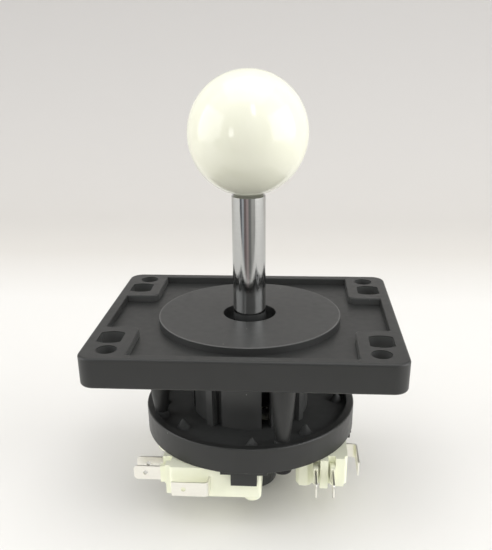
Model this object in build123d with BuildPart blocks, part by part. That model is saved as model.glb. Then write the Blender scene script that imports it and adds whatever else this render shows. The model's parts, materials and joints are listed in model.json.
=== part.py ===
from build123d import *
import math
import os

os.makedirs("parts", exist_ok=True)

# Arcade joystick lever, in millimetres.
# The origin is the centre of the mounting plate's top, +Z runs up the lever, the front faces -Y.

# Mounting plate
plate_length = 91.8
plate_depth = 75.8
plate_height = 9.3
plate_corner_radius = 4.4
plate_edge_radius = 0.8
rim_width = 3.3
recess_depth = 2.4
recess_edge_radius = 0.4
web_thickness = 3.0
side_wall = 2.8
pad_length = 13.7
pad_depth = 23.8
pad_corner_radius = 2.5
round_hole_diameter = 6.0
round_hole_inset_x = 7.6
round_hole_inset_y = 6.5
oblong_hole_width = 7.2
oblong_hole_length = 8.9
oblong_end_radius = 6.4
oblong_corner_radius = 0.8
oblong_hole_inset_x = 6.7
oblong_hole_inset_y = 15.55
bolt_boss_wall = 2.0

# Dust washer that lies in the plate's recess
dust_washer_diameter = 57.3
dust_washer_thickness = 2.3
dust_washer_edge_radius = 0.2
dust_washer_swing_clearance = 0.15

# Lever's pivot: a ball-shaped bushing in an upward socket
tilt_limit = 9.5
pivot_depth = 12.0
pivot_radius = 9.0
pivot_bottom_land = 2.65
pivot_neck_height = 12.7
socket_clearance = 0.05
socket_entry_clearance = 0.15
socket_wall = 3.2
socket_floor_depth = 9.0
throat_clearance = 1.4

# Shaft, spindle and knob
shaft_diameter = 10.2
shaft_chamfer = 1.0
spindle_diameter = 7.0
spindle_end_gap = 0.7
running_clearance = 0.05
knob_diameter = 35.0
knob_centre_height = 54.5
knob_seat_radius = 5.3
stud_diameter = 6.0
stud_length = 14.0
stud_hole_spare = 2.0

# Rubber grommet and steel washer under the socket
grommet_height = 8.0
grommet_radius = 10.5
grommet_waist = 1.4
grommet_bore_clearance = 0.7
thrust_washer_radius = 10.0
thrust_washer_thickness = 1.2

# Actuator sleeve on the spindle
actuator_neck_radius = 7.4
actuator_body_radius = 8.7
actuator_foot_radius = 8.9
actuator_step_drop = 3.0
actuator_body_drop = 6.9
actuator_foot_length = 5.5
actuator_edge_radius = 0.8

# Retaining clip in the spindle's groove
clip_thickness = 0.9
clip_outer_radius = 5.4
clip_band = 1.3
clip_bite = 0.85
clip_mouth_width = 4.4
clip_prong_width = 2.4
clip_groove_play = 0.05
clip_recess_clearance = 0.8
clip_recess_depth = 3.4

# Skirt, posts and tray under the plate
skirt_radius = 19.0
skirt_wall = 2.4
skirt_slot_top = 12.0
skirt_slot_width = 3.2
skirt_slot_angle = 289.0
skirt_groove_width = 2.0
skirt_groove_depth = 1.6
skirt_groove_angle = 242.5
skirt_rib_width = 2.4
skirt_rib_reach = 1.6
skirt_rib_gap = 0.2
post_top_radius = 3.85
post_foot_radius = 2.1
post_lead_angle = 3.35
post_edge_margin = 0.15
tray_wall = 2.3
tray_height = 8.7
tray_rise = 0.4
tray_floor_drop = 2.3
tray_floor_thickness = 3.0
tray_edge_radius = 0.5
tray_edge_margin = 0.75
tray_seat_wall = 0.85
gate_clearance = 0.35
gate_wall = 1.8
gate_corner_radius = 2.0
tab_width = 7.8
tab_thickness = 1.9
tab_length = 4.5
tab_gap = 0.15
tab_root_width = 14.0
tab_root_drop = 0.7

# Screws that hold the tray to the posts
screw_radius = 1.45
screw_hole_clearance = 0.05
screw_through_clearance = 0.2
screw_bite = 9.0
screw_end_gap = 1.0
screw_head_radius = 2.9
screw_head_height = 2.2
screw_head_edge_radius = 0.7
screw_drive_width = 0.8
screw_drive_length = 3.4
screw_drive_depth = 1.0

# Snap-action switches, drawn for the front one
switch_length = 27.8
switch_width = 15.9
switch_corner_radius = 1.0
switch_side_wall = 1.7
switch_roof = 2.2
cover_thickness = 2.2
cover_edge_radius = 0.5
mount_hole_inset = 2.8
mount_hole_radius = 1.55
mount_hole_wall = 1.2
peg_clearance = 0.07
peg_tip_gap = 1.2
cone_radius = 2.1
cone_height = 3.0
cone_tip_radius = 0.25
cover_boss_radius = 2.7
cover_boss_height = 1.3
cover_boss_edge_radius = 0.8
collar_reach = 3.6
collar_margin = 0.475
collar_rise = 0.5
end_rib_width = 2.4
end_rib_reach = 2.8
end_block_width = 2.7
end_block_reach = 1.4

# Switch contacts
blade_width = 4.75
blade_thickness = 0.5
blade_side_gap = 0.575
blade_boss_gap = 0.3
blade_pitch = 5.2
blade_reach = 12.0
blade_inside = 6.0
blade_tip_radius = 1.2
blade_hole_radius = 0.75
blade_hole_inset = 3.6
blade_slot_clearance = 0.05
contact_radius = 1.3
contact_gap = 0.35
contact_end_margin = 2.7
moving_contact_half = 0.6
common_standoff = 3.6
common_root_inset = 12.1
common_length = 11.0
common_bend_radius = 1.2
common_inner_bend_radius = 0.5
snap_blade_thickness = 0.25
snap_blade_width = 4.0
snap_blade_lead = 0.7
snap_anchor_gap = 0.15
snap_anchor_play = 0.02

# Switch plungers, which stand on the lever's axes
plunger_inset = 22.7
plunger_width = 3.4
plunger_height = 4.0
plunger_proud = 2.0
plunger_press = 0.8
plunger_play = 0.18
plunger_clearance = 0.06
plunger_crown = 0.5
plunger_flange_width = 5.4
plunger_flange_thickness = 1.2
plunger_flange_spare = 0.2
plunger_nose_radius = 1.0
plunger_nose_gap = 0.05

# Lever's greatest lean, along one axis and into a corner
tilt = math.radians(tilt_limit)
corner_tilt = math.acos(math.cos(tilt) ** 2)

# Heights, from the plate down to the actuator's foot
recess_z = -recess_depth
dust_washer_top_z = recess_z + dust_washer_thickness
web_bottom_z = recess_z - web_thickness
pivot_z = -pivot_depth
pivot_neck_z = pivot_z + pivot_neck_height
socket_bottom_z = pivot_z - socket_floor_depth
thrust_washer_top_z = socket_bottom_z - grommet_height
actuator_top_z = thrust_washer_top_z - thrust_washer_thickness
tray_top_z = actuator_top_z + tray_rise
tray_floor_z = tray_top_z - tray_floor_drop
tray_floor_bottom_z = tray_floor_z - tray_floor_thickness
tray_bottom_z = tray_top_z - tray_height
cavity_height = blade_width + 2 * blade_side_gap
case_height = switch_roof + cavity_height
case_bottom_z = tray_bottom_z - case_height
switch_bottom_z = case_bottom_z - cover_thickness
contact_z = case_bottom_z + cavity_height / 2
actuator_step_z = tray_bottom_z - actuator_step_drop
actuator_foot_z = switch_bottom_z - actuator_body_drop
actuator_bottom_z = actuator_foot_z - actuator_foot_length
clip_seat_z = actuator_bottom_z + clip_recess_depth
spindle_end_z = actuator_bottom_z + spindle_end_gap
shaft_top_z = knob_centre_height - math.sqrt((knob_diameter / 2) ** 2 - knob_seat_radius**2)

# Radii of what turns or leans on the lever's axis
shaft_radius = shaft_diameter / 2
spindle_radius = spindle_diameter / 2
stud_radius = stud_diameter / 2
bore_radius = spindle_radius + running_clearance
pivot_bottom_radius = bore_radius + pivot_bottom_land
grommet_bore_radius = spindle_radius + grommet_bore_clearance
shaft_swing = (dust_washer_top_z - pivot_z) * math.tan(corner_tilt) + shaft_radius / math.cos(corner_tilt)
dust_washer_hole_radius = shaft_swing + dust_washer_swing_clearance
spindle_swing = socket_floor_depth * math.sin(corner_tilt) + spindle_radius * math.cos(corner_tilt)
socket_throat_radius = spindle_swing + throat_clearance
gate_swing = (pivot_z - tray_bottom_z) * math.tan(tilt) + actuator_neck_radius / math.cos(tilt)
gate_half = gate_swing + gate_clearance
plunger_swing = (pivot_z - contact_z) * math.tan(tilt) + actuator_body_radius / math.cos(tilt)

# Front switch's faces and contacts, in the plane of the tray
hole_boss_radius = mount_hole_radius + mount_hole_wall
boss_reach = mount_hole_inset + hole_boss_radius + blade_boss_gap + blade_thickness / 2
plunger_tip_y = -(plunger_swing + plunger_play - plunger_press)
switch_inner_y = plunger_tip_y - plunger_proud
switch_outer_y = switch_inner_y - switch_width
switch_end_x = -plunger_inset
switch_far_x = switch_end_x + switch_length
hole_near = (switch_end_x + mount_hole_inset, switch_inner_y - mount_hole_inset)
hole_far = (switch_far_x - mount_hole_inset, switch_outer_y + mount_hole_inset)
mount_holes = [hole_near, hole_far]
closed_blade_y = switch_inner_y - boss_reach
open_blade_y = closed_blade_y - blade_pitch
snap_blade_y = (open_blade_y + closed_blade_y) / 2
contact_x = switch_end_x + switch_side_wall + blade_inside - contact_end_margin
snap_blade_end_x = contact_x - snap_blade_lead
snap_anchor_x = switch_far_x - switch_side_wall - snap_anchor_gap - blade_thickness / 2
snap_anchor_y = snap_blade_y - snap_blade_thickness / 2 - snap_anchor_play - blade_thickness / 2
common_inside_y = switch_outer_y + boss_reach
common_root_x = switch_end_x + common_root_inset

# Tray and posts, round the switches
tab_inner_y = switch_outer_y - tab_gap
tray_radius = -tab_inner_y + tab_thickness + tray_edge_margin
post_circle_radius = tray_radius - post_top_radius - post_edge_margin
post_room_start = math.degrees(math.asin(plunger_inset / post_circle_radius))
post_room_end = math.degrees(math.acos(switch_far_x / post_circle_radius))
post_angle = -(post_room_start + post_room_end) / 2 - post_lead_angle
post_places = PolarLocations(post_circle_radius, 4, start_angle=post_angle)
quarter_turns = {"front": 0, "right": 90, "back": 180, "left": 270}


def turned(angle, height):
    """Level plane at a height, with its X axis turned about the lever's axis."""
    turn = math.radians(angle)
    return Plane(origin=(0, 0, height), x_dir=(math.cos(turn), math.sin(turn), 0), z_dir=(0, 0, 1))


def facing_axis(angle, x, y, height):
    """Upright plane at a place in the turned frame, whose normal points at the lever's axis."""
    level = turned(angle, height)
    return Plane(origin=level.from_local_coords((x, y, 0)), x_dir=-level.x_dir, z_dir=level.y_dir)


def write(part, name):
    part.label = name
    export_step(part, f"parts/{name}.step")


# Mounting plate with its pivot socket, skirt and four posts, one moulding
round_spacing = (plate_length - 2 * round_hole_inset_x, plate_depth - 2 * round_hole_inset_y)
oblong_spacing = (plate_length - 2 * oblong_hole_inset_x, plate_depth - 2 * oblong_hole_inset_y)
round_holes = GridLocations(*round_spacing, 2, 2)
oblong_holes = GridLocations(*oblong_spacing, 2, 2)
pad_places = GridLocations(plate_length - pad_length, plate_depth - pad_depth, 2, 2)
round_boss = round_hole_diameter + 2 * bolt_boss_wall
oblong_boss = (oblong_hole_width + 2 * bolt_boss_wall, oblong_hole_length + 2 * bolt_boss_wall)
seat_radius = pivot_radius + socket_clearance
entry_radius = pivot_radius + socket_entry_clearance
throat_angle = math.acos(socket_throat_radius / seat_radius)
throat_z = pivot_z - seat_radius * math.sin(throat_angle)
seat_middle = (seat_radius * math.cos(throat_angle / 2), pivot_z - seat_radius * math.sin(throat_angle / 2))
post_waist_radius = post_top_radius - (post_top_radius - post_foot_radius) / 4
post_top = (post_top_radius, web_bottom_z)
post_middle = (post_waist_radius, (web_bottom_z + tray_top_z) / 2)
post_foot = (post_foot_radius, tray_top_z)
skirt_rib_offset = skirt_groove_width / 2 + skirt_rib_gap + skirt_rib_width / 2
skirt_rib_angle = skirt_groove_angle - math.degrees(skirt_rib_offset / skirt_radius)

with BuildSketch() as oblong_outline:
    Rectangle(oblong_hole_width, oblong_hole_length)
    for end in (-1, 1):
        with Locations((0, end * (oblong_hole_length / 2 - oblong_end_radius))):
            Circle(oblong_end_radius, mode=Mode.INTERSECT)
    fillet(oblong_outline.vertices(), oblong_corner_radius)

with BuildPart() as post:
    with BuildSketch(Plane.XZ):
        with BuildLine():
            Polyline(post_foot, (0, tray_top_z), (0, web_bottom_z), post_top)
            ThreePointArc(post_top, post_middle, post_foot)
        make_face()
    revolve(axis=Axis.Z)

with BuildPart() as mounting_plate:
    with BuildSketch(Plane.XY.offset(-plate_height)):
        RectangleRounded(plate_length, plate_depth, plate_corner_radius)
    extrude(amount=plate_height)
    fillet(mounting_plate.faces().sort_by(Axis.Z)[-1].edges(), plate_edge_radius)
    fillet(mounting_plate.faces().sort_by(Axis.Z)[0].edges(), plate_edge_radius)
    # Recess between the rim and the four corner pads
    with BuildSketch(Plane.XY):
        Rectangle(plate_length - 2 * rim_width, plate_depth - 2 * rim_width)
        with pad_places:
            RectangleRounded(pad_length, pad_depth, pad_corner_radius, mode=Mode.SUBTRACT)
    extrude(amount=-recess_depth, mode=Mode.SUBTRACT)
    fillet(mounting_plate.edges(Select.LAST).group_by(Axis.Z)[-1], recess_edge_radius)
    # Hollow underside inside the side walls, with a boss left round every bolt hole
    with BuildSketch(Plane.XY.offset(-plate_height)):
        Rectangle(plate_length - 2 * side_wall, plate_depth - 2 * side_wall)
        with round_holes:
            Rectangle(round_boss, round_boss, mode=Mode.SUBTRACT)
        with oblong_holes:
            Rectangle(*oblong_boss, mode=Mode.SUBTRACT)
    extrude(amount=plate_height + web_bottom_z, mode=Mode.SUBTRACT)
    # Socket block, skirt with its ribs, and posts that narrow to the tray's seats
    with BuildSketch(Plane.XY.offset(socket_bottom_z)):
        Circle(seat_radius + socket_wall)
    extrude(amount=recess_z - socket_bottom_z)
    with BuildSketch(Plane.XY.offset(tray_floor_z)):
        Circle(skirt_radius)
        with PolarLocations(skirt_radius, 4, start_angle=skirt_rib_angle):
            Rectangle(2 * skirt_rib_reach, skirt_rib_width)
        Circle(skirt_radius - skirt_wall, mode=Mode.SUBTRACT)
    extrude(amount=recess_z - tray_floor_z)
    with post_places:
        add(post.part)
    # Slots through the skirt, and grooves beside its ribs
    with BuildSketch(Plane.XY.offset(tray_floor_z)):
        with PolarLocations(skirt_radius - skirt_wall / 2, 4, start_angle=skirt_slot_angle):
            Rectangle(2 * skirt_wall, skirt_slot_width)
        with PolarLocations(skirt_radius, 4, start_angle=skirt_groove_angle):
            Rectangle(2 * skirt_groove_depth, skirt_groove_width)
    extrude(amount=-skirt_slot_top - tray_floor_z, mode=Mode.SUBTRACT)
    # Socket's bore: entry from above, spherical seat, throat for the spindle
    with BuildSketch(Plane.XZ):
        with BuildLine():
            Polyline((0, 0), (entry_radius, 0), (entry_radius, pivot_z), (seat_radius, pivot_z))
            ThreePointArc((seat_radius, pivot_z), seat_middle, (socket_throat_radius, throat_z))
            Polyline(
                (socket_throat_radius, throat_z),
                (socket_throat_radius, socket_bottom_z),
                (0, socket_bottom_z),
                (0, 0),
            )
        make_face()
    revolve(axis=Axis.Z, mode=Mode.SUBTRACT)
    # Bolt holes, and screw holes in the posts
    with BuildSketch(Plane.XY):
        with round_holes:
            Circle(round_hole_diameter / 2)
        with oblong_holes:
            add(oblong_outline.sketch)
    extrude(amount=-plate_height, mode=Mode.SUBTRACT)
    with BuildSketch(Plane.XY.offset(tray_top_z)):
        with post_places:
            Circle(screw_radius + screw_hole_clearance)
    extrude(amount=screw_bite + screw_end_gap, mode=Mode.SUBTRACT)
write(mounting_plate.part, "mounting_plate")

# Dust washer, loose in the recess round the shaft
with BuildPart() as dust_washer:
    with BuildSketch(Plane.XY.offset(recess_z)):
        Circle(dust_washer_diameter / 2)
        Circle(dust_washer_hole_radius, mode=Mode.SUBTRACT)
    extrude(amount=dust_washer_thickness)
    fillet(dust_washer.faces().sort_by(Axis.Z)[-1].edges(), dust_washer_edge_radius)
write(dust_washer.part, "dust_washer")

# Switch tray: rim, floor with the square gate, screw seats, switch pegs and retaining tabs
tray_bore_radius = tray_radius - tray_wall
screw_through_radius = screw_radius + screw_through_clearance
tray_seat_radius = screw_through_radius + tray_seat_wall
peg_radius = mount_hole_radius - peg_clearance
peg_length = case_height + cover_thickness - peg_tip_gap
tab_height = tab_length + tray_floor_bottom_z - tray_bottom_z
tab_root_height = tab_root_drop + tray_floor_bottom_z - tray_bottom_z
tab_align = (Align.CENTER, Align.MAX, Align.MIN)
cone_align = (Align.CENTER, Align.CENTER, Align.MIN)
gate_width = 2 * gate_half
gate_frame = gate_width + 2 * gate_wall

with BuildPart() as switch_tray:
    with BuildSketch(Plane.XY.offset(tray_bottom_z)):
        Circle(tray_radius)
    extrude(amount=tray_height)
    fillet(switch_tray.edges(), tray_edge_radius)
    # Hollows above and below the floor, round the seats, the gate's frame and the pegs' bosses
    with BuildSketch(Plane.XY.offset(tray_floor_z)):
        Circle(tray_bore_radius)
        with post_places:
            Circle(tray_seat_radius, mode=Mode.SUBTRACT)
    extrude(amount=tray_floor_drop, mode=Mode.SUBTRACT)
    with BuildSketch(Plane.XY.offset(tray_bottom_z)):
        Circle(tray_bore_radius)
        with post_places:
            Circle(screw_head_radius, mode=Mode.SUBTRACT)
        Rectangle(gate_frame, gate_frame, mode=Mode.SUBTRACT)
        for angle in quarter_turns.values():
            with Locations(Rotation(0, 0, angle)):
                with Locations(*mount_holes):
                    Circle(hole_boss_radius, mode=Mode.SUBTRACT)
    extrude(amount=tray_floor_bottom_z - tray_bottom_z, mode=Mode.SUBTRACT)
    # Gate and screw holes
    with BuildSketch(Plane.XY.offset(tray_bottom_z)):
        RectangleRounded(gate_width, gate_width, gate_corner_radius)
        with post_places:
            Circle(screw_through_radius)
    extrude(amount=tray_height, mode=Mode.SUBTRACT)
    # Pegs and tabs below, cones above
    for angle in quarter_turns.values():
        with Locations(turned(angle, tray_bottom_z)):
            with Locations(*mount_holes):
                Cylinder(peg_radius, peg_length, align=(Align.CENTER, Align.CENTER, Align.MAX))
            with Locations((0, tab_inner_y, -tab_length)):
                Box(tab_width, tab_thickness, tab_height, align=tab_align)
            with Locations((0, tab_inner_y, -tab_root_drop)):
                Box(tab_root_width, tab_thickness, tab_root_height, align=tab_align)
        with Locations(turned(angle, tray_floor_z)):
            with Locations(*mount_holes):
                Cone(cone_radius, cone_tip_radius, cone_height, align=cone_align)
write(switch_tray.part, "switch_tray")

# Four screws through the tray's seats into the posts
with BuildPart() as tray_screws:
    with BuildSketch(Plane.XY.offset(tray_bottom_z)):
        with post_places:
            Circle(screw_radius)
    extrude(amount=tray_height + screw_bite)
    with BuildSketch(Plane.XY.offset(tray_bottom_z)):
        with post_places:
            Circle(screw_head_radius)
    extrude(amount=-screw_head_height)
    head_faces = tray_screws.faces().group_by(Axis.Z)[0]
    fillet(head_faces.edges(), screw_head_edge_radius)
    with BuildSketch(Plane.XY.offset(tray_bottom_z - screw_head_height)):
        with post_places:
            Rectangle(screw_drive_length, screw_drive_width)
            Rectangle(screw_drive_width, screw_drive_length)
    extrude(amount=screw_drive_depth, mode=Mode.SUBTRACT)
write(tray_screws.part, "tray_screws")

# Shaft: stud for the knob, polished upper length, spindle with the clip's groove
clip_inner_radius = spindle_radius - clip_bite
groove_radius = clip_inner_radius - clip_groove_play
groove_bottom_z = clip_seat_z - clip_thickness - 2 * clip_groove_play

with BuildPart() as shaft:
    with BuildSketch(Plane.XZ):
        with BuildLine():
            Polyline(
                (0, spindle_end_z),
                (spindle_radius - shaft_chamfer, spindle_end_z),
                (spindle_radius, spindle_end_z + shaft_chamfer),
                (spindle_radius, groove_bottom_z),
                (groove_radius, groove_bottom_z),
                (groove_radius, clip_seat_z),
                (spindle_radius, clip_seat_z),
                (spindle_radius, pivot_neck_z),
                (shaft_radius, pivot_neck_z),
                (shaft_radius, shaft_top_z - shaft_chamfer),
                (shaft_radius - shaft_chamfer, shaft_top_z),
                (stud_radius, shaft_top_z),
                (stud_radius, shaft_top_z + stud_length),
                (0, shaft_top_z + stud_length),
                close=True,
            )
        make_face()
    revolve(axis=Axis.Z)
write(shaft.part, "shaft")

# Ball knob with its blind hole for the stud
with BuildPart() as ball_knob:
    with Locations((0, 0, knob_centre_height)):
        Sphere(knob_diameter / 2)
    split(bisect_by=Plane.XY.offset(shaft_top_z), keep=Keep.TOP)
    with BuildSketch(Plane.XY.offset(shaft_top_z)):
        Circle(stud_radius + running_clearance)
    extrude(amount=stud_length + stud_hole_spare, mode=Mode.SUBTRACT)
write(ball_knob.part, "ball_knob")

# Pivot bushing: a ball with a neck, seated in the socket
neck_join_z = pivot_z + math.sqrt(pivot_radius**2 - shaft_radius**2)
pivot_bottom_z = pivot_z - math.sqrt(pivot_radius**2 - pivot_bottom_radius**2)
neck_join = (shaft_radius, neck_join_z)
ball_bottom = (pivot_bottom_radius, pivot_bottom_z)

with BuildPart() as pivot_bushing:
    with BuildSketch(Plane.XZ):
        with BuildLine():
            Polyline(
                ball_bottom,
                (bore_radius, pivot_bottom_z),
                (bore_radius, pivot_neck_z),
                (shaft_radius, pivot_neck_z),
                neck_join,
            )
            ThreePointArc(neck_join, (pivot_radius, pivot_z), ball_bottom)
        make_face()
    revolve(axis=Axis.Z)
write(pivot_bushing.part, "pivot_bushing")

# Rubber grommet with a waist, between the socket and the steel washer
grommet_top = (grommet_radius, socket_bottom_z)
grommet_bottom = (grommet_radius, thrust_washer_top_z)
grommet_middle = (grommet_radius - grommet_waist, (socket_bottom_z + thrust_washer_top_z) / 2)

with BuildPart() as centering_grommet:
    with BuildSketch(Plane.XZ):
        with BuildLine():
            Polyline(
                grommet_bottom,
                (grommet_bore_radius, thrust_washer_top_z),
                (grommet_bore_radius, socket_bottom_z),
                grommet_top,
            )
            ThreePointArc(grommet_top, grommet_middle, grommet_bottom)
        make_face()
    revolve(axis=Axis.Z)
write(centering_grommet.part, "centering_grommet")

with BuildPart() as thrust_washer:
    with BuildSketch(Plane.XY.offset(actuator_top_z)):
        Circle(thrust_washer_radius)
        Circle(bore_radius, mode=Mode.SUBTRACT)
    extrude(amount=thrust_washer_thickness)
write(thrust_washer.part, "thrust_washer")

# Actuator sleeve: neck in the gate, body beside the plungers, foot below the switches
clip_recess_radius = clip_outer_radius + clip_recess_clearance

with BuildPart() as actuator:
    with BuildSketch(Plane.XZ):
        with BuildLine():
            Polyline(
                (bore_radius, actuator_top_z),
                (actuator_neck_radius, actuator_top_z),
                (actuator_neck_radius, actuator_step_z),
                (actuator_body_radius, actuator_step_z),
                (actuator_body_radius, actuator_foot_z),
                (actuator_foot_radius, actuator_foot_z),
                (actuator_foot_radius, actuator_bottom_z),
                (clip_recess_radius, actuator_bottom_z),
                (clip_recess_radius, clip_seat_z),
                (bore_radius, clip_seat_z),
                close=True,
            )
        outline = make_face()
        foot_corner = outline.vertices().group_by(Axis.Y)[0].sort_by(Axis.X)[-1]
        fillet(foot_corner, actuator_edge_radius)
    revolve(axis=Axis.Z)
write(actuator.part, "actuator")

# Retaining clip: an open ring with three prongs in the spindle's groove
clip_window_radius = clip_outer_radius - clip_band
prong_end_radius = clip_outer_radius - clip_band / 2
prong_length = prong_end_radius - clip_inner_radius

with BuildPart() as retaining_clip:
    with BuildSketch(Plane.XY.offset(clip_seat_z - clip_groove_play - clip_thickness)):
        Circle(clip_outer_radius)
        Circle(clip_window_radius, mode=Mode.SUBTRACT)
        with PolarLocations(clip_inner_radius + prong_length / 2, 3, start_angle=90):
            Rectangle(prong_length, clip_prong_width)
        Circle(clip_inner_radius, mode=Mode.SUBTRACT)
        with Locations((0, -clip_outer_radius)):
            Rectangle(clip_mouth_width, clip_outer_radius, mode=Mode.SUBTRACT)
    extrude(amount=clip_thickness)
write(retaining_clip.part, "retaining_clip")


# Snap-action switches: seven pieces each, made once for every side
switch_centre = (switch_end_x + switch_length / 2, switch_inner_y - switch_width / 2)
cavity_length = switch_length - 2 * switch_side_wall
cavity_width = switch_width - 2 * switch_side_wall
slot_thickness = blade_thickness + 2 * blade_slot_clearance
slot_width = blade_width + 2 * blade_slot_clearance
collar_thickness = blade_thickness + 2 * collar_margin
collar_width = blade_width + 2 * collar_rise
end_blades = [(switch_end_x, open_blade_y), (switch_end_x, closed_blade_y)]
block_inset = switch_corner_radius + end_block_width / 2
end_steps = [
    (switch_inner_y - block_inset, end_block_reach, end_block_width),
    (snap_blade_y, end_rib_reach, end_rib_width),
    (switch_outer_y + block_inset, end_block_reach, end_block_width),
]
plunger_slot_width = plunger_width + 2 * plunger_clearance
plunger_slot_height = plunger_height + 2 * plunger_clearance
flange_top_y = switch_inner_y - switch_side_wall - plunger_press - plunger_flange_spare
flange_bottom_y = flange_top_y - plunger_flange_thickness
nose_end_y = snap_blade_y + snap_blade_thickness / 2 + plunger_press + plunger_nose_gap
contact_height = (blade_pitch - blade_thickness) / 2 - moving_contact_half - contact_gap
common_y = switch_outer_y - common_standoff
common_tip_x = common_root_x - common_length
common_route = [
    (common_tip_x, common_y),
    (common_root_x, common_y),
    (common_root_x, common_inside_y),
    (snap_anchor_x, common_inside_y),
    (snap_anchor_x, snap_anchor_y),
]
common_bends = [common_bend_radius, common_inner_bend_radius, common_inner_bend_radius]

with BuildSketch() as switch_outline:
    with Locations(switch_centre):
        RectangleRounded(switch_length, switch_width, switch_corner_radius)
    for step_y, step_reach, step_width in end_steps:
        with Locations((switch_end_x, step_y)):
            Rectangle(2 * step_reach, step_width)


def make_case(angle):
    """Hollow case, open below, with two blocks, a rib and the blades' collars on its terminal end."""
    with BuildPart() as case:
        with BuildSketch(turned(angle, case_bottom_z)):
            add(switch_outline.sketch)
        extrude(amount=case_height)
        with Locations(turned(angle, contact_z)):
            with Locations(*end_blades):
                Box(2 * collar_reach, collar_thickness, collar_width)
        with BuildSketch(turned(angle, case_bottom_z)):
            with Locations(switch_centre):
                Rectangle(cavity_length, cavity_width)
            with Locations(*mount_holes):
                Circle(hole_boss_radius, mode=Mode.SUBTRACT)
        extrude(amount=cavity_height, mode=Mode.SUBTRACT)
        with BuildSketch(turned(angle, case_bottom_z)):
            with Locations(*mount_holes):
                Circle(mount_hole_radius)
        extrude(amount=case_height, mode=Mode.SUBTRACT)
        with Locations(turned(angle, contact_z)):
            with Locations(*end_blades):
                Box(4 * collar_reach, slot_thickness, slot_width, mode=Mode.SUBTRACT)
            with Locations((common_root_x, switch_outer_y)):
                Box(slot_thickness, 4 * switch_side_wall, slot_width, mode=Mode.SUBTRACT)
            with Locations((0, switch_inner_y)):
                Box(plunger_slot_width, 4 * switch_side_wall, plunger_slot_height, mode=Mode.SUBTRACT)
    return case.part


def make_cover(angle):
    """Plate that closes the case, with a rounded boss at each mounting hole."""
    with BuildPart() as cover:
        with BuildSketch(turned(angle, switch_bottom_z)):
            add(switch_outline.sketch)
        extrude(amount=cover_thickness)
        fillet(cover.faces().sort_by(Axis.Z)[0].edges(), cover_edge_radius)
        with BuildSketch(turned(angle, case_bottom_z)):
            with Locations(*mount_holes):
                Circle(cover_boss_radius)
        extrude(amount=-cover_thickness - cover_boss_height)
        fillet(cover.faces().group_by(Axis.Z)[0].edges(), cover_boss_edge_radius)
        with BuildSketch(turned(angle, switch_bottom_z - cover_boss_height)):
            with Locations(*mount_holes):
                Circle(mount_hole_radius)
        extrude(amount=cover_thickness + cover_boss_height, mode=Mode.SUBTRACT)
    return cover.part


def make_plunger(angle):
    """Button with a crowned tip, a flange that keeps it in, and a nose over the snap blade."""
    level = turned(angle, contact_z)
    side_origin = level.from_local_coords((-plunger_width / 2, 0, 0))
    crown_y = plunger_tip_y - plunger_crown
    half_height = plunger_height / 2
    with BuildPart() as plunger:
        with BuildSketch(Plane(origin=side_origin, x_dir=level.y_dir, z_dir=level.x_dir)):
            with BuildLine():
                ThreePointArc((crown_y, -half_height), (plunger_tip_y, 0), (crown_y, half_height))
                Polyline(
                    (crown_y, half_height),
                    (flange_bottom_y, half_height),
                    (flange_bottom_y, -half_height),
                    (crown_y, -half_height),
                )
            make_face()
        extrude(amount=plunger_width)
        with Locations(level):
            with Locations((0, flange_bottom_y, 0)):
                flange_align = (Align.CENTER, Align.MIN, Align.CENTER)
                Box(plunger_flange_width, plunger_flange_thickness, plunger_height, align=flange_align)
        with BuildSketch(facing_axis(angle, 0, nose_end_y, contact_z)):
            Circle(plunger_nose_radius)
        extrude(amount=flange_bottom_y - nose_end_y)
    return plunger.part


def make_end_terminal(angle, blade_y, contact_direction):
    """Flat blade through the switch's end wall, with a contact rivet inside."""
    length = blade_reach + switch_side_wall + blade_inside
    tip_x = switch_end_x - blade_reach
    with BuildPart() as terminal:
        with BuildSketch(facing_axis(angle, 0, blade_y - blade_thickness / 2, contact_z)):
            with Locations((-tip_x - length / 2, 0)):
                blade = Rectangle(length, blade_width)
            fillet(blade.vertices().group_by(Axis.X)[-1], blade_tip_radius)
            with Locations((-tip_x - blade_hole_inset, 0)):
                Circle(blade_hole_radius, mode=Mode.SUBTRACT)
        extrude(amount=blade_thickness)
        with BuildSketch(facing_axis(angle, contact_x, blade_y, contact_z)):
            Circle(contact_radius)
        extrude(amount=contact_direction * (blade_thickness / 2 + contact_height))
    return terminal.part


def make_common_terminal(angle):
    """Blade that leaves the outer wall and bends beside it, with the snap blade's round anchor inside."""
    with BuildPart() as terminal:
        with BuildSketch(turned(angle, contact_z - blade_width / 2)):
            with BuildLine() as route:
                FilletPolyline(*common_route, radius=common_bends)
            trace(lines=route.line, line_width=blade_thickness)
            with Locations((snap_anchor_x, snap_anchor_y)):
                Circle(blade_thickness / 2)
        extrude(amount=blade_width)
        hole_x = common_tip_x + blade_hole_inset
        with BuildSketch(facing_axis(angle, hole_x, common_y - blade_thickness, contact_z)):
            Circle(blade_hole_radius)
        extrude(amount=2 * blade_thickness, mode=Mode.SUBTRACT)
    return terminal.part


def make_snap_blade(angle):
    """Spring blade from the round anchor to the moving contact between the two rivets."""
    length = snap_anchor_x + blade_thickness / 2 - snap_blade_end_x
    with BuildPart() as blade:
        with Locations(turned(angle, contact_z)):
            with Locations((snap_blade_end_x + length / 2, snap_blade_y)):
                Box(length, snap_blade_thickness, snap_blade_width)
        with BuildSketch(facing_axis(angle, contact_x, snap_blade_y, contact_z)):
            Circle(contact_radius)
        extrude(amount=moving_contact_half, both=True)
    return blade.part


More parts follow.
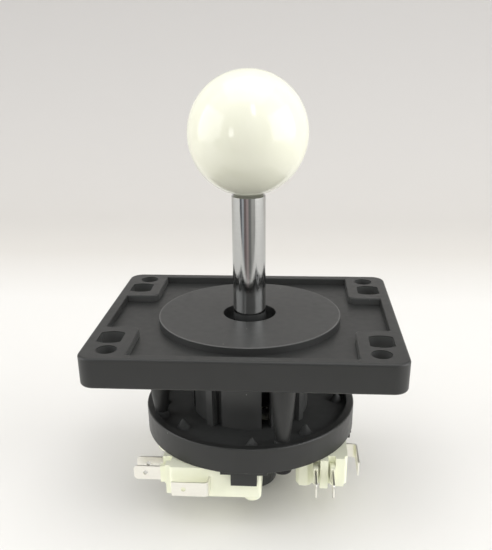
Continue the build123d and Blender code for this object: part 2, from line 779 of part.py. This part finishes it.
for side, angle in quarter_turns.items():
    write(make_case(angle), f"{side}_switch_case")
    write(make_cover(angle), f"{side}_switch_cover")
    write(make_plunger(angle), f"{side}_switch_plunger")
    write(make_end_terminal(angle, open_blade_y, 1), f"{side}_switch_open_terminal")
    write(make_end_terminal(angle, closed_blade_y, -1), f"{side}_switch_closed_terminal")
    write(make_common_terminal(angle), f"{side}_switch_common_terminal")
    write(make_snap_blade(angle), f"{side}_switch_snap_blade")
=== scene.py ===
"""Arcade joystick lever: finishes of every piece, with the studio and the camera it is shown in. Metres."""
import json
import math

import bmesh
import bpy
from mathutils import Matrix, Vector


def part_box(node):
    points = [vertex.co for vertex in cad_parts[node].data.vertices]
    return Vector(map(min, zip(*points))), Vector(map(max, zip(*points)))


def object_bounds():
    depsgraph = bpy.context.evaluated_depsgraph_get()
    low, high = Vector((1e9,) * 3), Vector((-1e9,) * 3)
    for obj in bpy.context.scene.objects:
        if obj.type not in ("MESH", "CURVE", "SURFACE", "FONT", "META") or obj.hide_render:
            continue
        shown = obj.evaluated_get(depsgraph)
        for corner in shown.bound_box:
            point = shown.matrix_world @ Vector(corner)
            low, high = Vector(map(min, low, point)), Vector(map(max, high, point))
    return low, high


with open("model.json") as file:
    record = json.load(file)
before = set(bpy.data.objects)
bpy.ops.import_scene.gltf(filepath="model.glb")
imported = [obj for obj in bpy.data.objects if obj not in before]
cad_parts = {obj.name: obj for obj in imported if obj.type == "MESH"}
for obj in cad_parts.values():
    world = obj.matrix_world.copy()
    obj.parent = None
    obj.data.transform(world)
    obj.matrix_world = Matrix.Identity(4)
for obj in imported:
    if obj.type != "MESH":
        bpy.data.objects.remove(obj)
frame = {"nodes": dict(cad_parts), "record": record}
solids_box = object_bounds()

MM = 0.001

# Camera at the photograph's viewing angle, with its lens and sensor in millimetres
camera_place = Vector((0.01409, -0.20731, 0.07884))
camera_forward = Vector((-0.06772, 0.91271, -0.40297)).normalized()
camera_up = Vector((-0.01796, 0.40271, 0.91515))
camera_lens = 45.68
camera_sensor_width = 36.0
camera_shift_up = 0.133
camera_near_clip = 0.01

# Floor and backdrop, one sweep with a cove between them
floor_height = solids_box[0].z
sweep_half_width = 3.0
sweep_front = -3.0
sweep_wall_y = 0.62
sweep_cove_radius = 0.25
sweep_wall_height = 2.0
sweep_cove_steps = 24
sweep_seam = 0.0001
sweep_normal_limit = 0.01

# Paper of the sweep: its tones, and how far back each gives way to the next
floor_white = (0.785, 0.775, 0.75, 1.0)
cove_pale = (0.68, 0.66, 0.625, 1.0)
backdrop_grey = (0.535, 0.522, 0.51, 1.0)
cove_fade_start = 0.18
wall_fade_start = 0.28
wall_fade_end = 0.63
paper_roughness = 0.9
paper_specular = 0.1

# Floor in front of the picture: pale to look at, but it throws back little soft light under the ball
dim_floor_y = -0.17
dim_floor_blend = 0.02
dim_floor_tone = (0.07, 0.07, 0.07, 1.0)

# Room light, dimmer from behind the camera
room_colour = (1.0, 0.995, 0.985, 1.0)
room_front_strength = 0.40
room_back_strength = 1.05
room_front_way = -0.9
room_back_way = 0.2

# Soft panels on either side and overhead
panel_size = (0.8, 0.8)
left_panel_place = Vector((-0.75, -0.20, 0.18))
left_panel_power = 4.1
right_panel_place = Vector((0.75, -0.20, 0.18))
right_panel_power = 5.6
overhead_size = (1.1, 1.1)
overhead_place = Vector((0.0, 0.05, 1.0))
overhead_power = 4.8

# Two small lamps that the ball mirrors
lamp_distance = 0.9
high_lamp_way = Vector((0.205, -0.641, 0.740))
high_lamp_size = (0.11, 0.32)
high_lamp_power = 0.6
low_lamp_way = Vector((-0.447, -0.886, 0.127))
low_lamp_size = (0.13, 0.22)
low_lamp_power = 0.40

# Low card behind the camera, in upright bands of tone from left to right, which the chromed shaft mirrors
card_y = -0.222
card_height = 0.10
card_bands = [
    (-0.36, (0.24, 0.26, 0.29, 1.0)),
    (-0.21, (0.24, 0.26, 0.29, 1.0)),
    (-0.19, (0.80, 0.86, 0.92, 1.0)),
    (-0.14, (0.80, 0.86, 0.92, 1.0)),
    (-0.11, (0.31, 0.25, 0.25, 1.0)),
    (-0.06, (0.31, 0.25, 0.25, 1.0)),
    (-0.04, (0.66, 0.54, 0.55, 1.0)),
    (0.00, (0.66, 0.54, 0.55, 1.0)),
    (0.02, (0.30, 0.31, 0.30, 1.0)),
    (0.06, (0.33, 0.34, 0.33, 1.0)),
    (0.10, (0.74, 0.74, 0.72, 1.0)),
    (0.25, (0.78, 0.78, 0.76, 1.0)),
]

# Where a lighter tone of painted light starts on the plate, the tray and the dust washer
plate_height = 9.3 * MM
skirt_reach = 21.0 * MM
socket_reach = 11.0 * MM
socket_depth = 0.5 * MM
bolt_hole_centre = Vector((38.8, 26.8, 4.8)) * MM
bolt_hole_reach = Vector((5.2, 9.2, 4.4)) * MM
recess_wall_centre = Vector((0.0, 0.0, 1.285)) * MM
recess_wall_reach = Vector((42.7, 34.7, 1.035)) * MM
tray_wall = 2.3 * MM
tray_cone_height = 3.0 * MM
tray_floor_margin = 0.3 * MM
washer_edge_width = 0.4 * MM
washer_edge_blend = 0.1 * MM
washer_face_depth = 0.12 * MM

# How softly the painted light's tone runs out: across, up and down, and at a block's sides as a share of
# its reach
reach_blend = 0.3 * MM
height_blend = 0.1 * MM
block_blend = 0.01

# Pale specks on the charcoal pieces
speck_spacing = 3.0 * MM
speck_radius = 0.21 * MM
speck_core = 0.6
speck_share = 0.065
speck_tone = (0.30, 0.30, 0.29, 1.0)

# Range in which most values of soft noise lie
noise_low = 0.3
noise_high = 0.7


# Material helpers

def start_finish(name):
    """A new node material, its tree and its surface shader."""
    material = bpy.data.materials.new(name)
    material.use_nodes = True
    return material, material.node_tree, material.node_tree.nodes["Principled BSDF"]


def add_node(tree, kind, **settings):
    """A node of the tree, with its sockets' values given by name, spaces written as underscores."""
    made = tree.nodes.new(kind)
    for socket, value in settings.items():
        made.inputs[socket.replace("_", " ")].default_value = value
    return made


def feed(tree, values, sockets):
    """Gives each socket a plain value, or links another node's output to it."""
    for value, socket in zip(values, sockets):
        if isinstance(value, bpy.types.NodeSocket):
            tree.links.new(value, socket)
        else:
            socket.default_value = value


def own_place(tree):
    """The piece's own coordinates."""
    return add_node(tree, "ShaderNodeTexCoord").outputs["Object"]


def apart(tree, vector):
    """X, Y and Z of a vector."""
    made = add_node(tree, "ShaderNodeSeparateXYZ")
    tree.links.new(vector, made.inputs["Vector"])
    return made.outputs


def join(tree, operation, *values):
    """Numbers put together by the named operation."""
    made = add_node(tree, "ShaderNodeMath")
    made.operation = operation
    feed(tree, values, made.inputs)
    return made.outputs["Value"]


def join_vectors(tree, operation, *vectors):
    """Vectors put together by the named operation, as outputs named Vector and Value."""
    made = add_node(tree, "ShaderNodeVectorMath")
    made.operation = operation
    feed(tree, vectors, made.inputs)
    return made.outputs


def from_axis(tree):
    """Distance from the lever's upright axis."""
    level = join_vectors(tree, "MULTIPLY", own_place(tree), (1.0, 1.0, 0.0))["Vector"]
    return join_vectors(tree, "LENGTH", level)["Value"]


def patches(tree, size, detail=3.0, stretch=(1.0, 1.0, 1.0)):
    """Soft noise on the piece's own coordinates, in patches of about the given size."""
    mapping = add_node(tree, "ShaderNodeMapping", Scale=stretch)
    noise = add_node(tree, "ShaderNodeTexNoise", Scale=1.0 / size, Detail=detail)
    tree.links.new(own_place(tree), mapping.inputs["Vector"])
    tree.links.new(mapping.outputs["Vector"], noise.inputs["Vector"])
    return noise.outputs["Fac"]


def spread(tree, value, low, high, start=noise_low, end=noise_high):
    """Maps a value from the range between start and end to the range between low and high."""
    made = add_node(tree, "ShaderNodeMapRange", From_Min=start, From_Max=end, To_Min=low, To_Max=high)
    tree.links.new(value, made.inputs["Value"])
    return made.outputs["Result"]


def tint(tree, value, first, painted_light):
    """Colour between two tones, by a value from 0 to 1."""
    mix = tree.nodes.new("ShaderNodeMix")
    mix.data_type = "RGBA"
    tree.links.new(value, mix.inputs["Factor"])
    feed(tree, (first, painted_light), [socket for socket in mix.inputs if socket.type == "RGBA"])
    return next(socket for socket in mix.outputs if socket.type == "RGBA")


def relief(tree, shader, value, height):
    """Bump of the given height from a value from 0 to 1."""
    bump = add_node(tree, "ShaderNodeBump", Strength=1.0, Distance=height)
    tree.links.new(value, bump.inputs["Height"])
    tree.links.new(bump.outputs["Normal"], shader.inputs["Normal"])


# Places on a piece, as values of 1 inside and 0 elsewhere

def specks(tree):
    """A few small specks, scattered over the piece."""
    cells = add_node(tree, "ShaderNodeTexVoronoi", Scale=1.0 / speck_spacing)
    tree.links.new(own_place(tree), cells.inputs["Vector"])
    edge = speck_radius / speck_spacing
    near = spread(tree, cells.outputs["Distance"], 1.0, 0.0, edge * speck_core, edge)
    draw = add_node(tree, "ShaderNodeSeparateColor")
    tree.links.new(cells.outputs["Color"], draw.inputs["Color"])
    chosen = join(tree, "LESS_THAN", draw.outputs["Red"], speck_share)
    return join(tree, "MULTIPLY", near, chosen)


def inside_circle(tree, radius, height, above):
    """Within a radius of the lever's axis, and above or else below a height."""
    within = spread(tree, from_axis(tree), 1.0, 0.0, radius, radius + reach_blend)
    low, high = (0.0, 1.0) if above else (1.0, 0.0)
    rise = apart(tree, own_place(tree))["Z"]
    side = spread(tree, rise, low, high, height - height_blend, height + height_blend)
    return join(tree, "MULTIPLY", within, side)


def inside_blocks(tree, centre, reach):
    """Inside a block, given by depth below the panel face, and its mirror images to the left and back."""
    folded = join_vectors(tree, "ABSOLUTE", own_place(tree))["Vector"]
    offset = join_vectors(tree, "SUBTRACT", folded, centre)["Vector"]
    away = join_vectors(tree, "ABSOLUTE", offset)["Vector"]
    share = apart(tree, join_vectors(tree, "DIVIDE", away, reach)["Vector"])
    furthest = join(tree, "MAXIMUM", join(tree, "MAXIMUM", share["X"], share["Y"]), share["Z"])
    return spread(tree, furthest, 1.0, 0.0, 1.0 - block_blend, 1.0)


def plate_painted_light(tree):
    """The skirt, the socket, and the walls of the bolt holes and the recess, where a lighter tone is
    painted light.
    """
    skirt = inside_circle(tree, skirt_reach, -plate_height, above=False)
    socket = inside_circle(tree, socket_reach, -socket_depth, above=False)
    bolt_holes = inside_blocks(tree, bolt_hole_centre, bolt_hole_reach)
    recess_walls = inside_blocks(tree, recess_wall_centre, recess_wall_reach)
    walls = join(tree, "MAXIMUM", bolt_holes, recess_walls)
    return join(tree, "MAXIMUM", join(tree, "MAXIMUM", skirt, socket), walls)


def tray_hollow_painted_light(tree):
    """The tray's floor and what stands on it, inside the round wall, where a lighter tone is painted fill
    light in its shade.
    """
    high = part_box("switch_tray")[1]
    floor = high[2] - tray_cone_height - tray_floor_margin
    return inside_circle(tree, high[0] - tray_wall, floor, above=True)


def washer_painted_highlight(tree):
    """A painted highlight along the edge of the dust washer's upper face."""
    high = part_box("dust_washer")[1]
    start = high[0] - washer_edge_width
    # Painted highlight: a lighter ring just inside the washer's outer edge
    highlight_ring = spread(tree, from_axis(tree), 0.0, 1.0, start - washer_edge_blend, start)
    upper_face = inside_circle(tree, high[0], high[2] - washer_face_depth, above=True)
    return join(tree, "MULTIPLY", highlight_ring, upper_face)


# Finishes, one for every material slot of the part

def charcoal_plastic(name, dark, light, roughness, grain, painted_light_place, painted_light_tone, painted_light_roughness):
    """Moulded charcoal plastic: fine grain, faint flow marks, uneven gloss, a few specks, and a lighter
    tone of painted light in given places.

    The last argument is what the place of the painted light adds to the roughness.
    """
    material, tree, shader = start_finish(name)
    flow = spread(tree, patches(tree, size=9.0 * MM), low=0.0, high=1.0)
    # Painted light: a lighter tone in the given place, which also changes the roughness there
    painted_light = painted_light_place(tree)
    tone = tint(tree, painted_light, tint(tree, flow, dark, light), painted_light_tone)
    tree.links.new(tint(tree, specks(tree), tone, speck_tone), shader.inputs["Base Color"])
    uneven = spread(tree, patches(tree, size=2.5 * MM, detail=5.0), *roughness)
    dullness = join(tree, "MULTIPLY_ADD", painted_light, painted_light_roughness, uneven)
    tree.links.new(dullness, shader.inputs["Roughness"])
    shader.inputs["Specular IOR Level"].default_value = 0.42
    relief(tree, shader, patches(tree, size=0.22 * MM, detail=2.0), height=grain)
    return material


def ivory_ball():
    """Polished ivory-white ball: faint clouding, fine handling marks in the gloss."""
    material, tree, shader = start_finish("polished ivory ball")
    cloud = spread(tree, patches(tree, size=7.0 * MM), low=0.0, high=1.0)
    tone = tint(tree, cloud, (0.875, 0.875, 0.722, 1.0), (0.890, 0.888, 0.748, 1.0))
    tree.links.new(tone, shader.inputs["Base Color"])
    marks = patches(tree, size=0.9 * MM, detail=6.0)
    tree.links.new(spread(tree, marks, low=0.05, high=0.11), shader.inputs["Roughness"])
    shader.inputs["IOR"].default_value = 1.5
    return material


def polished_chrome():
    """Chromed shaft: mirror bright, with fine polishing lines round it."""
    material, tree, shader = start_finish("polished chrome")
    shader.inputs["Metallic"].default_value = 1.0
    lines = patches(tree, size=0.35 * MM, detail=4.0, stretch=(0.06, 0.06, 1.0))
    bright = spread(tree, lines, low=0.0, high=1.0)
    tone = tint(tree, bright, (0.435, 0.44, 0.435, 1.0), (0.465, 0.47, 0.465, 1.0))
    tree.links.new(tone, shader.inputs["Base Color"])
    tree.links.new(spread(tree, lines, low=0.08, high=0.14), shader.inputs["Roughness"])
    relief(tree, shader, lines, height=0.0004 * MM)
    return material


def slick_black(name, dark, light):
    """Glossy black bushing, actuator or plunger: smooth, with a few rubbed patches."""
    material, tree, shader = start_finish(name)
    rub = spread(tree, patches(tree, size=3.0 * MM, detail=4.0), low=0.0, high=1.0)
    tree.links.new(tint(tree, rub, dark, light), shader.inputs["Base Color"])
    dullness = spread(tree, rub, low=0.14, high=0.26, start=0.0, end=1.0)
    tree.links.new(dullness, shader.inputs["Roughness"])
    relief(tree, shader, patches(tree, size=0.5 * MM), height=0.001 * MM)
    return material


def soft_rubber():
    """Black rubber grommet: dull, dusty and slightly pitted."""
    material, tree, shader = start_finish("soft black rubber")
    bloom = spread(tree, patches(tree, size=2.0 * MM, detail=5.0), low=0.0, high=1.0)
    tone = tint(tree, bloom, (0.013, 0.013, 0.013, 1.0), (0.028, 0.028, 0.027, 1.0))
    tree.links.new(tone, shader.inputs["Base Color"])
    dullness = spread(tree, bloom, low=0.62, high=0.8, start=0.0, end=1.0)
    tree.links.new(dullness, shader.inputs["Roughness"])
    relief(tree, shader, patches(tree, size=0.3 * MM), height=0.006 * MM)
    return material


def plated_metal(name, dark, light, roughness, line_size, stretch):
    """Plated or bare metal: drawn lines in its tone, and clouds in its gloss."""
    material, tree, shader = start_finish(name)
    shader.inputs["Metallic"].default_value = 1.0
    lines = patches(tree, size=line_size, detail=4.0, stretch=stretch)
    bright = spread(tree, lines, low=0.0, high=1.0)
    tree.links.new(tint(tree, bright, dark, light), shader.inputs["Base Color"])
    cloud = patches(tree, size=1.6 * MM)
    tree.links.new(spread(tree, cloud, *roughness), shader.inputs["Roughness"])
    relief(tree, shader, lines, height=0.0015 * MM)
    return material


def cream_moulding():
    """Cream switch cases and covers: satin moulding with fine grain and a faint green-yellow cast."""
    material, tree, shader = start_finish("cream switch moulding")
    cloud = spread(tree, patches(tree, size=4.0 * MM), low=0.0, high=1.0)
    tone = tint(tree, cloud, (0.925, 0.942, 0.745, 1.0), (0.940, 0.955, 0.775, 1.0))
    tree.links.new(tone, shader.inputs["Base Color"])
    satin = spread(tree, patches(tree, size=1.5 * MM), low=0.30, high=0.42)
    tree.links.new(satin, shader.inputs["Roughness"])
    relief(tree, shader, patches(tree, size=0.2 * MM), height=0.002 * MM)
    return material


finishes = {
    "charcoal_moulding": charcoal_plastic(
        "charcoal plate moulding",
        dark=(0.0215, 0.0223, 0.0215, 1.0),
        light=(0.024, 0.0247, 0.024, 1.0),
        roughness=(0.37, 0.44),
        grain=0.004 * MM,
        # Painted light: a lighter tone on the skirt, the socket, the bolt holes and the recess walls
        painted_light_place=plate_painted_light,
        painted_light_tone=(0.064, 0.0655, 0.064, 1.0),
        painted_light_roughness=-0.06,
    ),
    "washer_plastic": charcoal_plastic(
        "charcoal washer",
        dark=(0.032, 0.0328, 0.032, 1.0),
        light=(0.0345, 0.0352, 0.0345, 1.0),
        roughness=(0.39, 0.44),
        grain=0.0025 * MM,
        # Painted highlight round the edge of the washer's upper face
        painted_light_place=washer_painted_highlight,
        painted_light_tone=(0.085, 0.085, 0.084, 1.0),
        painted_light_roughness=0.0,
    ),
    "tray_moulding": charcoal_plastic(
        "charcoal tray moulding",
        dark=(0.0205, 0.0213, 0.0205, 1.0),
        light=(0.023, 0.0237, 0.023, 1.0),
        roughness=(0.34, 0.42),
        grain=0.004 * MM,
        # Painted light: a lighter tone on the tray's shaded floor and what stands on it
        painted_light_place=tray_hollow_painted_light,
        painted_light_tone=(0.048, 0.050, 0.049, 1.0),
        painted_light_roughness=0.36,
    ),
    "blackened_steel": plated_metal(
        "blackened screws",
        dark=(0.020, 0.020, 0.021, 1.0),
        light=(0.045, 0.044, 0.044, 1.0),
        roughness=(0.30, 0.45),
        line_size=0.4 * MM,
        stretch=(1.0, 1.0, 1.0),
    ),
    "chromed_shaft": polished_chrome(),
    "ivory_ball": ivory_ball(),
    "black_bushing": slick_black(
        "slick black bushing",
        dark=(0.036, 0.0375, 0.037, 1.0),
        light=(0.046, 0.0475, 0.047, 1.0),
    ),
    "grommet_rubber": soft_rubber(),
    "bare_steel": plated_metal(
        "oiled steel",
        dark=(0.26, 0.26, 0.265, 1.0),
        light=(0.34, 0.34, 0.34, 1.0),
        roughness=(0.22, 0.38),
        line_size=0.6 * MM,
        stretch=(1.0, 1.0, 0.2),
    ),
    "switch_cream": cream_moulding(),
    "plunger_plastic": slick_black(
        "black plunger",
        dark=(0.020, 0.021, 0.021, 1.0),
        light=(0.026, 0.027, 0.027, 1.0),
    ),
    "tinned_blade": plated_metal(
        "tinned blades",
        dark=(0.90, 0.885, 0.82, 1.0),
        light=(0.94, 0.925, 0.86, 1.0),
        roughness=(0.30, 0.42),
        line_size=0.3 * MM,
        stretch=(0.15, 0.15, 1.0),
    ),
    "spring_copper": plated_metal(
        "spring copper",
        dark=(0.62, 0.36, 0.20, 1.0),
        light=(0.72, 0.44, 0.26, 1.0),
        roughness=(0.22, 0.36),
        line_size=0.4 * MM,
        stretch=(0.2, 0.2, 1.0),
    ),
}
for subpart in frame["record"]["subparts"]:
    for slot in frame["nodes"][subpart["node"]].material_slots:
        slot.material = finishes[subpart["material_slot"]]


# Studio

def sweep_paper():
    """Pale paper of the sweep: white under the lever, greyer up the backdrop, and clear from behind."""
    material, tree, shader = start_finish("sweep paper")
    back = apart(tree, own_place(tree))["Y"]
    to_cove = spread(tree, back, 0.0, 1.0, cove_fade_start, wall_fade_start)
    to_wall = spread(tree, back, 0.0, 1.0, wall_fade_start, wall_fade_end)
    tone = tint(tree, to_wall, tint(tree, to_cove, floor_white, cove_pale), backdrop_grey)
    in_front = spread(tree, back, 1.0, 0.0, dim_floor_y - dim_floor_blend, dim_floor_y)
    soft_light = add_node(tree, "ShaderNodeLightPath").outputs["Is Diffuse Ray"]
    dimmed = join(tree, "MULTIPLY", in_front, soft_light)
    tree.links.new(tint(tree, dimmed, tone, dim_floor_tone), shader.inputs["Base Color"])
    shader.inputs["Roughness"].default_value = paper_roughness
    shader.inputs["Specular IOR Level"].default_value = paper_specular
    behind = add_node(tree, "ShaderNodeNewGeometry").outputs["Backfacing"]
    clear = add_node(tree, "ShaderNodeBsdfTransparent").outputs["BSDF"]
    either = add_node(tree, "ShaderNodeMixShader")
    feed(tree, (behind, shader.outputs["BSDF"], clear), either.inputs)
    tree.links.new(either.outputs["Shader"], tree.nodes["Material Output"].inputs["Surface"])
    return material


def banded_paper():
    """Paper of the card, in upright bands between its left and right end."""
    material, tree, shader = start_finish("banded card")
    left, right = card_bands[0][0], card_bands[-1][0]
    bands = add_node(tree, "ShaderNodeValToRGB")
    stops = bands.color_ramp.elements
    while len(stops) < len(card_bands):
        stops.new(1.0)
    for stop, (x, tone) in zip(stops, card_bands):
        stop.position = (x - left) / (right - left)
        stop.color = tone
    across = spread(tree, apart(tree, own_place(tree))["X"], 0.0, 1.0, left, right)
    tree.links.new(across, bands.inputs["Fac"])
    tree.links.new(bands.outputs["Color"], shader.inputs["Base Color"])
    shader.inputs["Roughness"].default_value = paper_roughness
    return material


def add_mesh(name, work, material):
    """A mesh object at the origin, made from a finished bmesh."""
    mesh = bpy.data.meshes.new(name)
    work.to_mesh(mesh)
    work.free()
    mesh.materials.append(material)
    made = bpy.data.objects.new(name, mesh)
    bpy.context.scene.collection.objects.link(made)
    return made


def grow(work, edges, step):
    """Extrudes edges by a step and gives the new edges."""
    out = bmesh.ops.extrude_edge_only(work, edges=edges)["geom"]
    bmesh.ops.translate(work, verts=[v for v in out if isinstance(v, bmesh.types.BMVert)], vec=step)
    return [e for e in out if isinstance(e, bmesh.types.BMEdge)]


def make_sweep():
    """Floor, cove and wall, grown from the floor's front edge, with their faces towards the lever."""
    work = bmesh.new()
    sides = (sweep_half_width, -sweep_half_width)
    edge = [work.edges.new([work.verts.new((x, sweep_front, floor_height)) for x in sides])]
    cove_start = sweep_wall_y - sweep_cove_radius
    edge = grow(work, edge, Vector((0, cove_start - sweep_front, 0)))
    turn_centre = Vector((0, cove_start, floor_height + sweep_cove_radius))
    turned = bmesh.ops.spin(work, geom=edge, cent=turn_centre, axis=(1, 0, 0), angle=math.pi / 2,
                            steps=sweep_cove_steps)["geom_last"]
    edge = [e for e in turned if isinstance(e, bmesh.types.BMEdge)]
    grow(work, edge, Vector((0, 0, sweep_wall_height)))
    bmesh.ops.remove_doubles(work, verts=work.verts, dist=sweep_seam)
    for face in work.faces:
        face.smooth = True
    facing_away = [face for face in work.faces
                   if face.normal.z < -sweep_normal_limit or face.normal.y > sweep_normal_limit]
    bmesh.ops.reverse_faces(work, faces=facing_away)
    return add_mesh("paper_sweep", work, sweep_paper())


def make_card():
    """Banded card behind the camera, which only mirrors see."""
    work = bmesh.new()
    ends = [work.verts.new((x, card_y, floor_height)) for x in (card_bands[0][0], card_bands[-1][0])]
    grow(work, [work.edges.new(ends)], Vector((0, 0, card_height)))
    made = add_mesh("banded_card", work, banded_paper())
    made.visible_camera = False
    made.visible_diffuse = False
    made.visible_shadow = False
    return made


def add_lamp(name, place, aim, size, power):
    """A soft lamp of a given width and height that looks at a point, out of the camera's sight."""
    light = bpy.data.lights.new(name, "AREA")
    light.shape = "RECTANGLE"
    light.size, light.size_y = size
    light.energy = power
    lamp = bpy.data.objects.new(name, light)
    lamp.location = place
    lamp.rotation_mode = "QUATERNION"
    lamp.rotation_quaternion = (aim - place).to_track_quat("-Z", "Y")
    lamp.visible_camera = False
    bpy.context.scene.collection.objects.link(lamp)


def light_room():
    """The room's own light, then the panels and lamps, which all look at the ball."""
    world = bpy.data.worlds.new("soft room")
    world.use_nodes = True
    tree = world.node_tree
    background = tree.nodes["Background"]
    background.inputs["Color"].default_value = room_colour
    back = apart(tree, add_node(tree, "ShaderNodeTexCoord").outputs["Generated"])["Y"]
    strength = spread(tree, back, room_front_strength, room_back_strength, room_front_way, room_back_way)
    tree.links.new(strength, background.inputs["Strength"])
    bpy.context.scene.world = world

    ball_low, ball_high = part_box("ball_knob")
    ball_centre = (Vector(ball_low) + Vector(ball_high)) / 2
    add_lamp("left_panel", left_panel_place, ball_centre, panel_size, left_panel_power)
    add_lamp("right_panel", right_panel_place, ball_centre, panel_size, right_panel_power)
    add_lamp("overhead_panel", overhead_place, ball_centre, overhead_size, overhead_power)
    high_lamp_place = ball_centre + high_lamp_way.normalized() * lamp_distance
    add_lamp("high_lamp", high_lamp_place, ball_centre, high_lamp_size, high_lamp_power)
    low_lamp_place = ball_centre + low_lamp_way.normalized() * lamp_distance
    add_lamp("low_lamp", low_lamp_place, ball_centre, low_lamp_size, low_lamp_power)


def add_camera():
    """The photograph's camera, turned by its forward and up directions."""
    camera = bpy.data.cameras.new("photo_camera")
    camera.lens = camera_lens
    camera.sensor_width = camera_sensor_width
    camera.shift_y = camera_shift_up
    camera.clip_start = camera_near_clip
    made = bpy.data.objects.new("photo_camera", camera)
    right = camera_forward.cross(camera_up).normalized()
    up = right.cross(camera_forward)
    made.rotation_mode = "QUATERNION"
    made.rotation_quaternion = Matrix((right, up, -camera_forward)).transposed().to_quaternion()
    made.location = camera_place
    bpy.context.scene.collection.objects.link(made)
    bpy.context.scene.camera = made


make_sweep()
make_card()
light_room()
add_camera()
bpy.context.scene.view_settings.view_transform = "Standard"
